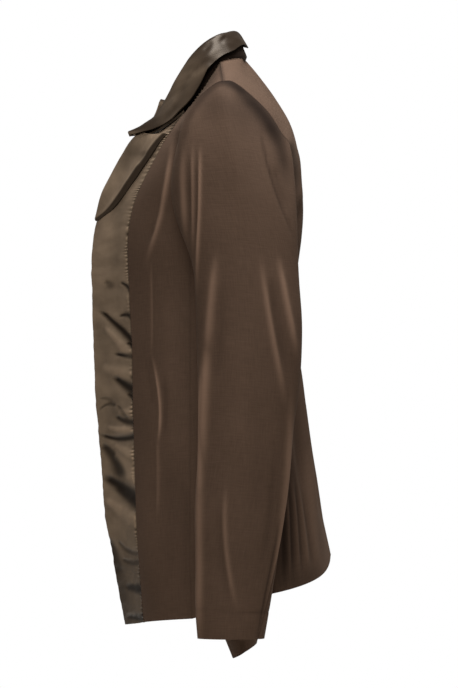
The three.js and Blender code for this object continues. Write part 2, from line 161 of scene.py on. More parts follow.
body["backSeamHeading"] = dict(body["sideBackSeam"], yaw=body["sideBackSeam"]["yaw"] - 180)
hair = 0.0001       # just past a height where the edges change
# a crease's painted shade and painted highlight are a little narrower than the crease itself
toneShare = 0.8     # a tone is a little narrower than the crease that it marks
creaseSteps = 8     # straight parts of a crease's path


def valueAt(rows, column, at):
    # smooth value of a table's column between its rows
    place, value = rows["at"], rows[column]
    at = np.asarray(at, float)
    last = len(place) - 2
    i = np.clip(np.searchsorted(place, at, side="left") - 1, 0, last)
    before = np.maximum(np.arange(len(place)) - 1, 0)
    after = np.minimum(np.arange(len(place)) + 1, last + 1)
    slope = (value[after] - value[before]) / (place[after] - place[before])
    span = place[i + 1] - place[i]
    t = np.clip((at - place[i]) / span, 0, 1)
    start = value[i] * (1 + 2 * t) * (1 - t) ** 2
    finish = value[i + 1] * (3 - 2 * t) * t ** 2
    return start + finish + span * (slope[i] * t * (1 - t) ** 2 - slope[i + 1] * t ** 2 * (1 - t))


def pointAt(rows, at):
    return np.stack([valueAt(rows, axis, at) for axis in "xyz"], -1)


def smooth(value, low, high):
    t = np.clip((value - low) / (high - low), 0, 1)
    return t * t * (3 - 2 * t)


def unit(way):
    return way / np.maximum(np.linalg.norm(way, axis=-1, keepdims=True), 1e-9)


def curve(a, b, c, d, t):
    t = np.asarray(t)[..., None]
    return a * (1 - t) ** 3 + 3 * b * t * (1 - t) ** 2 + 3 * c * t ** 2 * (1 - t) + d * t ** 3


def rowPoint(startRows, endRows, across, height, dip=0):
    # one row of cloth between two edges, leaving each along its yaw
    start, end = pointAt(startRows, height), pointAt(endRows, height)
    reach = body["heading"] * np.hypot(end[..., 0] - start[..., 0], end[..., 1] - start[..., 1])
    leave, arrive = start.copy(), end.copy()
    for handle, rows, sign in ((leave, startRows, 1), (arrive, endRows, -1)):
        yaw = np.radians(valueAt(rows, "yaw", height))
        handle[..., 0] += sign * reach * np.cos(yaw)
        handle[..., 1] += sign * reach * np.sin(yaw)
    rise = (end[..., 2] - start[..., 2]) / 3
    leave[..., 2] += rise
    arrive[..., 2] -= rise
    point = curve(start, leave, arrive, end, across)
    point[..., 2] -= dip * 4 * across * (1 - across)
    return point


def pick(mask, yes, no):
    return np.where(mask[..., None], yes, no)


def frontPoint(across, height):
    across, height = np.broadcast_arrays(np.asarray(across, float), np.asarray(height, float))
    low = rowPoint(body["frontEdge"], body["sideFrontSeam"], across, np.minimum(height, 1))
    high = rowPoint(body["frontEdge"], body["frontArmhole"], across, np.maximum(height, 1 + hair))
    return pick(height > 1, high, low)


def sidePoint(across, height):
    across, height = np.broadcast_arrays(np.asarray(across, float), np.asarray(height, float))
    dip = body["underarmDip"] * smooth(height, body["underarmDipFrom"], 1)
    return rowPoint(body["sideFrontSeam"], body["sideBackSeam"], across, height, dip)


def backPoint(across, height):
    across, height = np.broadcast_arrays(np.asarray(across, float), np.asarray(height, float))
    neck = body["backNeckHeight"]
    low = rowPoint(body["centreBack"], body["backSeamHeading"], across, np.minimum(height, 1))
    middle = rowPoint(body["centreBack"], body["backArmhole"], across, np.clip(height, 1 + hair, neck))
    high = rowPoint(body["backNeck"], body["backArmhole"], across, np.maximum(height, neck + hair))
    return pick(height > neck, high, pick(height > 1, middle, low))


def shareOf(width, height, samples=121):
    # share of a front row that lies within a distance of the front edge
    steps = np.linspace(0, 1, samples)
    line = frontPoint(steps[None, :], height[:, None])
    travelled = np.cumsum(np.linalg.norm(np.diff(line, axis=1), axis=2), axis=1)
    travelled = np.concatenate([np.zeros((len(height), 1)), travelled], axis=1)
    return np.array([np.interp(w, t, steps) for w, t in zip(width, travelled)])


# the dark column is a painted tone: above 0 painted shade in the crease, below 0 painted highlight along it
creaseColumns = "y1 z1 y2 z2 y3 z3 wide deep dark"


def creases(rows):
    return [dict(zip(creaseColumns.split(), row)) for row in rows]


def shifted(rows, dy, dz, grow=1.0):
    # a sister set for the other side, moved by uneven steps and of another depth
    moved = []
    for i, row in enumerate(rows):
        other = dict(row)
        for k in "123":
            other["y" + k] += dy * (1 if i % 2 else -0.6)
            other["z" + k] += dz * (1 if i % 3 else -0.7)
        other["deep"] *= grow
        moved.append(other)
    return moved


def creaseField(flatY, flatZ, rows, crisp=2, swell=0.0, bleed=0.0, fade=0.34):
    # height in mm of every crease over a sheet, and its painted tone: above 0 painted shade, below 0
    # painted highlight
    lift, deep, light = np.zeros_like(flatY), np.zeros_like(flatY), np.zeros_like(flatY)
    for row in rows:
        t = np.linspace(0, 1, creaseSteps + 1)[:, None]
        a, b, c = (np.array([row["y" + k], row["z" + k]]) for k in "123")
        path = a * (1 - t) * (1 - 2 * t) + 4 * b * t * (1 - t) + c * t * (2 * t - 1)
        near, along = np.full(flatY.shape, 1e9), np.zeros_like(flatY)
        for i in range(len(path) - 1):
            way = path[i + 1] - path[i]
            share = ((flatY - path[i][0]) * way[0] + (flatZ - path[i][1]) * way[1]) / way.dot(way)
            share = np.clip(share, 0, 1)
            gap = np.hypot(flatY - path[i][0] - share * way[0], flatZ - path[i][1] - share * way[1])
            closer = gap < near
            near = np.where(closer, gap, near)
            along = np.where(closer, (i + share) / (len(path) - 1), along)
        taper = smooth(np.minimum(along, 1 - along + bleed), -0.02, fade)
        wide = row["wide"] * (1 + swell * (along - 0.5))
        lift += row["deep"] * np.exp(-((near / wide) ** 2)) * taper
        tone = row["dark"] * np.exp(-((near / (toneShare * wide)) ** crisp)) * taper
        deep = 1 - (1 - deep) * (1 - np.clip(tone, 0, 1))
        light = np.maximum(light, -tone)
    return lift, deep - light


def deepen(tone, shade):
    # adds painted shade to a painted tone, so that it wins over any painted highlight
    return tone * (1 - shade) + shade


def ripple(points, side, wave, height, seed, lean=(1, 1, 1), swells=7):
    # gentle unevenness of cloth that nothing pulls flat
    rng = np.random.default_rng(seed + side)
    total = np.zeros(points.shape[:-1])
    for _ in range(swells):
        way = rng.normal(size=3) * lean
        way *= 2 * math.pi / (wave * rng.uniform(0.6, 1.7)) / np.linalg.norm(way)
        total += np.sin(points @ way + rng.uniform(0, 2 * math.pi))
    return total * height / 3  # the swells seldom add up to more than three


def addGrid(name, columns, rows):
    if bpy.context.object and bpy.context.object.mode != "OBJECT":
        bpy.ops.object.mode_set(mode="OBJECT")
    bpy.ops.object.select_all(action="DESELECT")
    bpy.ops.mesh.primitive_grid_add(x_subdivisions=columns, y_subdivisions=rows, size=1, location=(0, 0, 0))
    piece = bpy.context.object
    piece.name = name
    piece.data.name = name
    return piece


def normalsOf(points):
    up = np.gradient(points, axis=0)
    along = np.gradient(points, axis=1)
    return unit(np.cross(along, up))


def runLength(points, axis):
    step = np.linalg.norm(np.diff(points, axis=axis), axis=-1)
    pad = [(0, 0), (0, 0)]
    pad[axis] = (1, 0)
    return np.cumsum(np.pad(step, pad), axis=axis)


def layCloth(name, points, lift, dark, wall, outward, material, grainFrom=0):
    # lays a flat grid on a field of points and gives it a wall inwards; the weave runs true from one row
    rows, columns = points.shape[0] - 1, points.shape[1] - 1
    piece = addGrid(name, columns, rows)
    normal = normalsOf(points)
    facing = np.sign(np.mean(np.sum(normal * outward, axis=-1)))
    points = points + normal * (facing * lift)[..., None]
    mesh = piece.data
    mesh.vertices.foreach_set("co", (points / 1000).astype(np.float32).ravel())

    across, along = runLength(points, 1), runLength(points, 0)
    across = across - across[:, [columns // 2]]
    place = np.stack([across, along - along[grainFrom]], -1).reshape(-1, 2) / 1000
    corner = np.zeros(len(mesh.loops), np.int32)
    mesh.loops.foreach_get("vertex_index", corner)
    mesh.uv_layers.active.data.foreach_set("uv", place[corner].astype(np.float32).ravel())
    # painted shade and painted highlight of the creases, which the material reads
    crease = mesh.attributes.new("crease", "FLOAT", "POINT")
    crease.data.foreach_set("value", np.clip(dark, -1, 1).astype(np.float32).ravel())
    mesh.update()

    if facing < 0:
        bpy.ops.object.mode_set(mode="EDIT")
        bpy.ops.mesh.select_all(action="SELECT")
        bpy.ops.mesh.flip_normals()
        bpy.ops.object.mode_set(mode="OBJECT")
    thick = piece.modifiers.new("wall", "SOLIDIFY")
    thick.thickness = wall / 1000
    thick.offset = -1
    thick.use_even_offset = False
    bpy.ops.object.modifier_apply(modifier=thick.name)
    bpy.ops.object.shade_smooth_by_angle(angle=math.radians(body["sharpEdge"]))
    piece.data.materials.clear()
    piece.data.materials.append(material)
    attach(piece, "root")
    return piece


def pinned(points, columns, reach=7):
    # 0 along seamed edges and 1 away from them, so that neighbours stay together
    width = runLength(points, 1)
    return np.prod([smooth(np.abs(width - width[:, [column]]), 0, reach) for column in columns], axis=0)


def spread(columns, ease=0.05):
    t = np.linspace(0, 1, columns + 1)
    return t - ease * np.sin(2 * math.pi * t)  # finer towards the seams


def heightsTo(rows, top, lowShare):
    # body height of each row, with this share of them below the underarm
    t = np.linspace(0, 1, rows + 1)
    if top <= 1:
        return t * top
    return np.where(t < lowShare, t / lowShare, 1 + (t - lowShare) / (1 - lowShare) * (top - 1))


def seamDip(points, columns=(), rows=(), depth=0.7, dark=0.35, reach=1.6):
    # the cloth turns in along its seamed edges, and painted shade darkens the groove
    lift, shade = np.zeros(points.shape[:-1]), np.zeros(points.shape[:-1])
    width, length = runLength(points, 1), runLength(points, 0)
    gaps = [np.abs(width - width[:, [column]]) for column in columns]
    gaps += [np.abs(length - length[[row]]) for row in rows]
    for gap in gaps:
        lift -= depth * np.exp(-((gap / reach) ** 2))
        shade = np.maximum(shade, dark * np.exp(-((gap / (toneShare * reach)) ** 2)))
    return lift, shade


def calm(heights, low, high, share=1):
    # takes relief away towards the top
    return 1 - share * smooth(heights, low, high)[:, None]


finish = {
    "cloth": (0.0665, 0.0420, 0.0292),
    # colours that the painted shade in creases fades to
    "clothDark": (0.008, 0.005, 0.004),
    "clothMottleAndSheen": 0.34,
    "clothGrain": 0.32,
    "satin": (0.146, 0.106, 0.072),
    "satinDark": (0.0105, 0.0066, 0.0042),
    # on satin the patches of tone are mostly painted sheen streaks, on cloth random tone
    "satinMottleAndSheen": 1.1,
    "satinGrain": 0.16,
    "threads": 1250,
    "slubs": 620,
    "clothPatches": 14,
    "satinPatches": 34,
    "slubLength": 0.09,       # share of the noise's scale along a thread
    "patchLength": 0.6,
    "threadWander": 2.4,
    "threadScale": 0.314,     # from threads a metre to the wave's own scale
    "threadHeight": 0.05,
    "slubHeight": 0.9,
    "paintedHighlight": 1.7,            # brightness that a crease's full painted highlight adds
    "bumpDistance": 0.0004,
}


def socket(group, name, kind, inOut, value=None):
    made = group.interface.new_socket(name=name, in_out=inOut, socket_type=kind)
    if value is not None:
        made.default_value = value


def weaveGroup():
    # threads, slubs and soft patches of tone, with painted shade in creases and painted highlight along
    # ridges
    group = bpy.data.node_groups.new("wovenCloth", "ShaderNodeTree")
    socket(group, "Place", "NodeSocketVector", "INPUT")
    socket(group, "Colour", "NodeSocketColor", "INPUT", (0.1, 0.1, 0.1, 1))
    socket(group, "Painted Shade Colour", "NodeSocketColor", "INPUT", (0, 0, 0, 1))
    socket(group, "Crease", "NodeSocketFloat", "INPUT", 0)
    socket(group, "MottleAndSheen", "NodeSocketFloat", "INPUT", 0.3)
    socket(group, "Grain", "NodeSocketFloat", "INPUT", 0.3)
    socket(group, "Threads", "NodeSocketFloat", "INPUT", 1000)
    socket(group, "Slubs", "NodeSocketFloat", "INPUT", 400)
    socket(group, "Patches", "NodeSocketFloat", "INPUT", 10)
    socket(group, "Colour", "NodeSocketColor", "OUTPUT")
    socket(group, "Height", "NodeSocketFloat", "OUTPUT")
    nodes, links = group.nodes, group.links
    given, out = nodes.new("NodeGroupInput"), nodes.new("NodeGroupOutput")

    def stretched(x, y, scale, detail):
        mapping = nodes.new("ShaderNodeMapping")
        mapping.inputs["Scale"].default_value = (x, y, 1)
        noise = nodes.new("ShaderNodeTexNoise")
        noise.inputs["Detail"].default_value = detail
        links.new(given.outputs["Place"], mapping.inputs["Vector"])
        links.new(mapping.outputs["Vector"], noise.inputs["Vector"])
        links.new(given.outputs[scale], noise.inputs["Scale"])
        return noise.outputs["Fac"]

    def maths(operation, a, b, c=None):
        node = nodes.new("ShaderNodeMath")
        node.operation = operation
        for slot, value in enumerate((a, b, c)):
            if value is None:
                continue
            if isinstance(value, (int, float)):
                node.inputs[slot].default_value = value
            else:
                links.new(value, node.inputs[slot])
        return node.outputs[0]

    thin = finish["slubLength"]
    warp, weft = stretched(1, thin, "Slubs", 2), stretched(thin, 1, "Slubs", 2)
    patch = stretched(finish["patchLength"], 1, "Patches", 3)
    waves = []
    for direction in ("X", "Y"):
        wave = nodes.new("ShaderNodeTexWave")
        wave.bands_direction = direction
        wave.inputs["Distortion"].default_value = finish["threadWander"]
        links.new(given.outputs["Place"], wave.inputs["Vector"])
        scaled = maths("MULTIPLY", given.outputs["Threads"], finish["threadScale"])
        links.new(scaled, wave.inputs["Scale"])
        waves.append(wave.outputs["Fac"])
    slub = maths("ADD", maths("SUBTRACT", warp, 0.5), maths("SUBTRACT", weft, 0.5))
    # painted highlight where the crease tone is below 0
    paintedHighlight = maths("MAXIMUM", maths("MULTIPLY", given.outputs["Crease"], -finish["paintedHighlight"]), 0.0)
    uneven = maths("SUBTRACT", patch, 0.5)
    mottled = maths("MULTIPLY_ADD", uneven, given.outputs["MottleAndSheen"], maths("ADD", paintedHighlight, 1.0))
    bright = maths("MULTIPLY_ADD", slub, given.outputs["Grain"], mottled)
    toned = nodes.new("ShaderNodeVectorMath")
    toned.operation = "SCALE"
    links.new(given.outputs["Colour"], toned.inputs[0])
    links.new(bright, toned.inputs["Scale"])
    # painted shade: creases fade towards the shade colour
    mix = nodes.new("ShaderNodeMix")
    mix.data_type = "RGBA"
    links.new(maths("MAXIMUM", given.outputs["Crease"], 0.0), mix.inputs["Factor"])
    links.new(toned.outputs["Vector"], mix.inputs["A"])
    links.new(given.outputs["Painted Shade Colour"], mix.inputs["B"])
    links.new(mix.outputs["Result"], out.inputs["Colour"])
    threads = maths("ADD", waves[0], waves[1])
    slubs = maths("MULTIPLY", slub, finish["slubHeight"])
    weave = maths("MULTIPLY_ADD", threads, finish["threadHeight"], slubs)
    links.new(weave, out.inputs["Height"])
    return group


woven = weaveGroup()


def clothMaterial(name, kind, settings, bump):
    material = bpy.data.materials.new(name)
    material.use_nodes = True
    nodes, links = material.node_tree.nodes, material.node_tree.links
    surface = nodes["Principled BSDF"]
    for key, value in settings.items():
        surface.inputs[key].default_value = value
    place = nodes.new("ShaderNodeTexCoord")
    crease = nodes.new("ShaderNodeAttribute")
    crease.attribute_name = "crease"
    weave = nodes.new("ShaderNodeGroup")
    weave.node_tree = woven
    weave.inputs["Colour"].default_value = (*finish[kind], 1)
    weave.inputs["Painted Shade Colour"].default_value = (*finish[kind + "Dark"], 1)
    weave.inputs["MottleAndSheen"].default_value = finish[kind + "MottleAndSheen"]
    weave.inputs["Grain"].default_value = finish[kind + "Grain"]
    weave.inputs["Threads"].default_value = finish["threads"]
    weave.inputs["Slubs"].default_value = finish["slubs"]
    weave.inputs["Patches"].default_value = finish[kind + "Patches"]
    raised = nodes.new("ShaderNodeBump")
    raised.inputs["Strength"].default_value = bump
    raised.inputs["Distance"].default_value = finish["bumpDistance"]
    links.new(place.outputs["UV"], weave.inputs["Place"])
    links.new(crease.outputs["Fac"], weave.inputs["Crease"])
    links.new(weave.outputs["Colour"], surface.inputs["Base Color"])
    links.new(weave.outputs["Height"], raised.inputs["Height"])
    links.new(raised.outputs["Normal"], surface.inputs["Normal"])
    return material


brownCloth = clothMaterial("brownCloth", "cloth", {
    "Roughness": 0.82,
    "Specular IOR Level": 0.06,
    "Specular Tint": (0.95, 0.68, 0.48, 1),
    "Sheen Weight": 0.025,
    "Sheen Roughness": 0.4,
    "Sheen Tint": (0.62, 0.47, 0.37, 1),
}, 0.35)
bronzeSatin = clothMaterial("bronzeSatin", "satin", {
    "Roughness": 0.38,
    "Specular IOR Level": 0.09,
    "Specular Tint": (1.0, 0.78, 0.55, 1),
    "Anisotropic": 0.35,
}, 0.12)
print("finishes ready")

outwardX = np.array([1.0, 0, 0])

frontCloth = {
    "rows": 190,
    "columns": 80,
    "lowShare": 0.66,          # share of the rows below the underarm
    "tuckedUnder": 1.0,        # below the edge of the band
    "bandSeam": {"depth": 1.4, "dark": 0.4},
    "sideSeam": {"depth": 0.3, "dark": 0.14},
    "shoulderSeam": {"depth": 0.6, "dark": 0.8, "reach": 2.6},
    "calm": (1.93, 2, 0.6),    # heights over which relief fades, and how much of it
    "sister": (3, 12, 0.9),    # how the right side's folds differ
    "folds": creases([
        # y1 z1 y2 z2 y3 z3 wide deep dark
        [-54, -88, -63.5, -158, -86, -236, 3.4, 2.6, -0.92],
        [-62, -150, -72, -185, -93, -215, 7, -1.8, 0.14],
        [-46, -80, -52, -113, -55, -170, 5, -2.4, 0.30],
        [-78.2, -225, -78, -276, -77.9, -345, 1.6, -0.8, -0.30],
        [-79, -330, -68, -388, -70.8, -440, 1.8, 1.5, -1],
        [-70.8, -415, -69.8, -470, -71.6, -530, 2.2, 1, -0.30],
        [-64.5, -350, -62.8, -392, -65, -440, 4, -1.2, 0.20],
        [-85, -330, -80, -372, -77, -400, 5, -1, 0.10],
        [-62, -250, -58, -330, -58, -410, 11, 1.4, -0.05],
        [-88, -420, -84, -510, -78, -600, 16, 1.6, -0.06],
        [-58, -430, -56, -520, -60, -610, 13, -2, 0.12],
        [-42, -450, -40, -540, -44, -630, 8, -1.2, 0.15],
        # painted shadow on the front under the collar
        [-56, -74, -22, -34, 8, 6, 15, 0, 0.55],
    ]),
}
sideCloth = {
    "rows": 110,
    "columns": 26,
    "seam": {"depth": 0.3, "dark": 0.14},
    "calm": (0.93, 1),
    "folds": creases([
        [-10, -240, -6, -330, -4, -430, 10, -1.6, 0.08],
        [25, -260, 30, -360, 34, -470, 12, 1.8, 0],
        [5, -450, 2, -530, 4, -610, 14, 2, 0],
    ]),
}
backCloth = {
    "rows": 170,
    "columns": 116,
    "lowShare": 0.60,
    "seam": {"depth": 0.6, "dark": 0.4},
    "topSeam": {"depth": 0.6, "dark": 0.6, "reach": 2.2},
    "calm": (1.93, 2, 0.6),
    "sister": (4, 14, 0.9),
    "sideFrom": (60, 110),     # x over which the side folds come in
    "rearFrom": (55, 85),      # y over which the rear folds come in
    # folds beside the sleeve; the wide rows of no depth are painted shadow of the sleeve on the skirt
    "sideFolds": creases([
        [74, -400, 72, -510, 70.6, -640, 22, 0, 0.66],
        [71, -462, 72, -530, 72.5, -606, 3, -2.2, 0.60],
        [74, -474, 76.8, -530, 78.4, -602, 2.4, 1.4, -0.30],
        [76.6, -462, 80.6, -530, 83.2, -598, 2.5, -1.8, 0.55],
        [80.3, -466, 85.5, -530, 89, -594, 2.5, 1.4, -0.30],
        [83.6, -450, 90, -530, 93.9, -590, 2.6, -1.6, 0.46],
        [88.5, -470, 95.5, -530, 99.8, -586, 2.8, 1.3, -0.26],
        [93, -474, 101, -535, 105.7, -582, 3, -1.3, 0.36],
        [86.6, -375, 90, -430, 95.6, -498, 6, -1.6, 0.20],
        [110, -475, 114, -525, 119, -576, 5, -1.2, 0.20],
        [98, -410, 105, -500, 119, -580, 13, 0, -0.22],
        [78, -600, 96, -590, 120, -572, 16, 0, 0.30],
        [66, -215, 76, -160, 84, -118, 7, -2, 0.30],
        [86, -92, 82, -128, 88, -180, 12, 0, 0.36],
        [74, -190, 84, -165, 90, -140, 5, 1.2, -0.10],
    ]),
    # the same kind of folds seen from behind, in x and z
    "rearFolds": creases([
        [40, -320, 44, -420, 52, -550, 13, -3.2, 0.08],
        [72, -300, 82, -410, 96, -560, 14, 3, 0],
        [112, -310, 122, -430, 134, -580, 12, -3.2, 0.1],
        [20, -330, 20, -430, 22, -540, 12, 2.4, 0],
        [30, -262, 60, -270, 100, -290, 7, -1.8, 0.08],
        [40, -290, 70, -300, 118, -322, 8, 1.6, 0],
        [95, -160, 118, -185, 140, -225, 10, -2.4, 0.08],
        [60, -90, 85, -130, 110, -190, 14, 2, 0],
    ]),
}


def addFront(side, suffix):
    s = frontCloth
    heights = heightsTo(s["rows"], 2, s["lowShare"])
    band = shareOf(valueAt(body["bandWidth"], "width", heights) - s["tuckedUnder"], heights)
    t = spread(s["columns"])
    across = band[:, None] + (1 - band[:, None]) * t[None, :]
    points = frontPoint(across, heights[:, None])
    folds = s["folds"] if side > 0 else shifted(s["folds"], *s["sister"])
    lift, dark = creaseField(points[..., 1], points[..., 2], folds)
    lift = (lift + ripple(points, side, **body["ripple"])) * pinned(points, (0, -1))
    seams = [
        seamDip(points, (0,), (), **s["bandSeam"]),
        seamDip(points, (-1,), (), **s["sideSeam"]),
        seamDip(points, (), (-1,), **s["shoulderSeam"]),
    ]
    for dip, shade in seams:
        lift += dip
        dark = deepen(dark, shade)
    lift *= calm(heights, *s["calm"])
    points[..., 0] *= side
    piece = layCloth(f"cloth_front_{suffix}", points, lift, dark, body["clothWall"],
                     outwardX * side, brownCloth)
    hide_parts(f"front_{suffix}")


def addSide(side, suffix):
    s = sideCloth
    heights = heightsTo(s["rows"], 1, 1)
    points = sidePoint(spread(s["columns"])[None, :], heights[:, None])
    lift, dark = creaseField(points[..., 1], points[..., 2], s["folds"])
    lift = (lift + ripple(points, side, **body["ripple"])) * pinned(points, (0, -1))
    dip, shade = seamDip(points, (0, -1), (), **s["seam"])
    lift = (lift + dip) * calm(heights, *s["calm"])
    points[..., 0] *= side
    piece = layCloth(f"cloth_side_{suffix}", points, lift, deepen(dark, shade), body["clothWall"],
                     outwardX * side, brownCloth)
    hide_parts(f"side_{suffix}")


def addBack(side, suffix):
    s = backCloth
    heights = heightsTo(s["rows"], 2, s["lowShare"])
    points = backPoint(spread(s["columns"])[None, :], heights[:, None])
    lift, dark = creaseField(points[..., 1], points[..., 2], s["sideFolds"])
    keep = smooth(points[..., 0], *s["sideFrom"])
    lift, dark = lift * keep, dark * keep
    rear = s["rearFolds"] if side > 0 else shifted(s["rearFolds"], *s["sister"])
    rearLift, rearDark = creaseField(points[..., 0], points[..., 2], rear)
    behind = smooth(points[..., 1], *s["rearFrom"])
    lift = lift + rearLift * behind + ripple(points, side, **body["ripple"])
    lift *= pinned(points, (0, -1))
    dark = deepen(dark, np.maximum(rearDark, 0) * behind) + np.minimum(rearDark, 0) * behind
    dip, shade = seamDip(points, (0, -1), (), **s["seam"])
    top, line = seamDip(points, (), (-1,), **s["topSeam"])
    dark = deepen(dark, line)
    lift = (lift + dip + top) * calm(heights, *s["calm"])
    points[..., 0] *= side
    piece = layCloth(f"cloth_back_{suffix}", points, lift, deepen(dark, shade), body["clothWall"],
                     np.array([0, 1.0, 0.2]), brownCloth)
    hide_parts(f"back_{suffix}")


bandSatin = {
    "rows": 900,
    "columns": 34,
    "lowShare": 0.66,
    "columnEase": 1.35,            # finer towards the puckered seam
    "ripple": {"wave": 42, "height": 0.5, "seed": 5},
    "fineRipple": {"wave": 15, "height": 0.3, "seed": 8, "lean": (0.3, 0.3, 1)},
    "taut": (0.85, 1.2, 0.65),     # fine ripples fade round the underarm's height
    "pinned": 4,                   # mm over which creases fade to the seam
    "pitch": 4.7,                  # between puckers, then how unevenly they follow one another
    "wander": (0.9, 13),
    "jitter": (0.45, 5.3),
    "strength": (0.7, 0.5, 31),
    "strengthJitter": (0.7, 9),
    "stronger": (480, 560, 0.5),   # towards the top, in mm from the hem
    "reach": (0.55, 0.9, 7.3),
    "longer": (1.12, 1.3, 1.6),    # beside the lapel
    "pucker": 0.6,
    "puckerReach": 4.2,
    "tick": 4.2,                   # painted highlight and painted shade where the puckers meet the seam
    "tickHighlight": 0.55,
    "tickDark": 0.9,
    "tickShadeFrom": 0.1,
    "shadowed": 0.2,               # a crease with painted shade darker than this takes no painted highlight tick
    "underCollar": (1.56, 1.7, 0.7),   # heights over which the collar shades the band
    "seam": {"depth": 0.6, "dark": 0.5, "reach": 1.2},
    "calm": (1.9, 2, 0.8),
    "sister": (2.5, 17, 0.9),
    "creasing": {"crisp": 3.2, "swell": 0.9, "bleed": 0.2, "fade": 0.22},
    "wrinkles": creases([
        [-131.6, -249.6, -128.2, -251.9, -125.9, -254.2, 4, -1, 0.50],
        [-115, -251, -109, -254.5, -102, -261, 2.6, -1.6, 0.95],
        [-117, -290.5, -108.8, -288.3, -101, -290.8, 3, -1.5, 0.95],
        [-140, -283.5, -123.7, -296.5, -100, -320, 3.6, -3, 1],
        [-107.7, -320.5, -104.2, -321.6, -99.5, -324.9, 2.4, -1.2, 1],
        [-123, -332.5, -109.9, -334.7, -97, -335.9, 3.2, -2.2, 1],
        [-122.5, -358.6, -113.4, -366.2, -102, -373.3, 6, -3, 1],
        [-107.7, -377.6, -103.1, -381, -97, -384.3, 3.2, -1.6, 0.95],
        [-119.9, -403.3, -112.2, -408.6, -100.4, -411.7, 4.2, -1.8, 0.9],
        [-139.4, -424.7, -120.2, -430.1, -98, -426.4, 3.6, -2.6, 0.95],
        [-138.1, -438.4, -127.9, -446.4, -116.9, -466.5, 7, -3, 0.9],
        [-136.8, -472.8, -116.8, -485, -93.1, -499.7, 8.5, -4, 1],
        [-124, -484, -108.8, -495, -91, -507, 7, -1, 0.85],
        [-140, -399, -132, -391.5, -122, -391, 2.2, -1.2, 0.6],
        [-118, -392, -113, -396, -108, -405, 2.2, -1, 0.55],
        [-139, -385, -132, -384, -127, -387, 2.6, -1.2, 0.4],
        [-131.9, -541.2, -125.7, -557.2, -120.4, -576.6, 7.5, -1.5, 0.85],
        [-118, -545, -110, -556, -97, -560, 3, -1.2, 0.6],
        [-112, -566, -106, -571, -95, -570, 3.4, -1.2, 0.65],
        # broad painted shade, darker towards the hem
        [-122, -575, -117, -600, -112, -650, 13, -0.6, 0.60],
        [-110, -550, -104, -600, -94, -670, 26, 0, 0.34],
        [-110.5, -599.6, -99.5, -600, -88.5, -600.2, 6.6, -1.2, 1],
        [-109.1, -634.6, -95.1, -633.5, -83.1, -632.3, 5.6, -1.2, 0.95],
        [-133, -300, -118, -316, -104, -334, 5, 1.6, -0.30],
        [-136, -345, -122, -352, -106, -354, 7, 1.2, -0.22],
        [-130, -415, -118, -419, -102, -418, 4, 1.6, -0.30],
        [-125, -448, -112, -456, -100, -470, 8, 1.8, -0.26],
        [-122, -437, -112, -441, -98, -448, 5, 1.2, -0.30],
        [-116, -398, -108, -399, -98, -397, 5, 1, -0.28],
        [-133, -497, -116, -510, -98, -520, 7, 1.8, -0.30],
        [-126, -160, -134, -200, -136, -240, 12, 0.8, -0.12],
    ]),
}


def puckersAt(along, heights, side):
    # how high each pucker stands along the seam, and how far it reaches from it
    s = bandSatin
    (wander, wanderLength), (jitter, jitterLength) = s["wander"], s["jitter"]
    turn = along / s["pitch"] + wander * np.sin(along / wanderLength)
    turn = turn + jitter * np.sin(along / jitterLength + side)
    middle, sway, length = s["strength"]
    uneven, unevenLength = s["strengthJitter"]
    low, high, more = s["stronger"]
    strength = middle + sway * np.sin(along / length + uneven * np.sin(along / unevenLength))
    strength = strength + more * smooth(along, low, high)
    shortest, spare, every = s["reach"]
    low, high, more = s["longer"]
    reach = (shortest + spare * np.sin(along / every) ** 2) * (1 + more * smooth(heights, low, high))
    return (np.sin(2 * math.pi * turn) * strength)[:, None], reach[:, None]


def addBand(side, suffix):
    s = bandSatin
    heights = heightsTo(s["rows"], 2, s["lowShare"])
    share = shareOf(valueAt(body["bandWidth"], "width", heights), heights)
    t = 1 - (1 - np.linspace(0, 1, s["columns"] + 1)) ** s["columnEase"]
    points = frontPoint(share[:, None] * t[None, :], heights[:, None])
    wrinkles = s["wrinkles"] if side > 0 else shifted(s["wrinkles"], *s["sister"])
    lift, dark = creaseField(points[..., 1], points[..., 2], wrinkles, **s["creasing"])
    lift += ripple(points, side, **s["ripple"])
    lift += ripple(points, side, **s["fineRipple"]) * calm(heights, *s["taut"])
    lift *= pinned(points, (-1,), s["pinned"])
    gap = runLength(points, 1)
    gap = gap[:, -1][:, None] - gap  # from the puckered seam
    wave, reach = puckersAt(runLength(points, 0)[:, -1], heights, side)
    lift += s["pucker"] * wave * np.exp(-gap / (s["puckerReach"] * reach))
    # painted shadow under the collar, painted highlight on pucker crests and painted shade in their troughs
    low, high, shade = s["underCollar"]
    covered = smooth(heights, low, high)[:, None]
    tick = np.exp(-((gap / (s["tick"] * reach)) ** 2)) * (1 - covered)
    lit = dark - s["tickHighlight"] * np.clip(wave, 0, 1) * tick
    dark = deepen(np.where(dark > s["shadowed"], dark, lit), shade * covered)
    dark = deepen(dark, s["tickDark"] * np.clip(-wave - s["tickShadeFrom"], 0, 1) * tick)
    dip, shade = seamDip(points, (-1,), (), **s["seam"])
    lift = (lift + dip) * calm(heights, *s["calm"])
    dark = deepen(dark, shade)
    points[..., 0] *= side
    piece = layCloth(f"satin_band_{suffix}", points, lift, dark, body["satinWall"],
                     np.array([side * 0.6, -1.0, 0]), bronzeSatin)
    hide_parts(f"band_{suffix}")


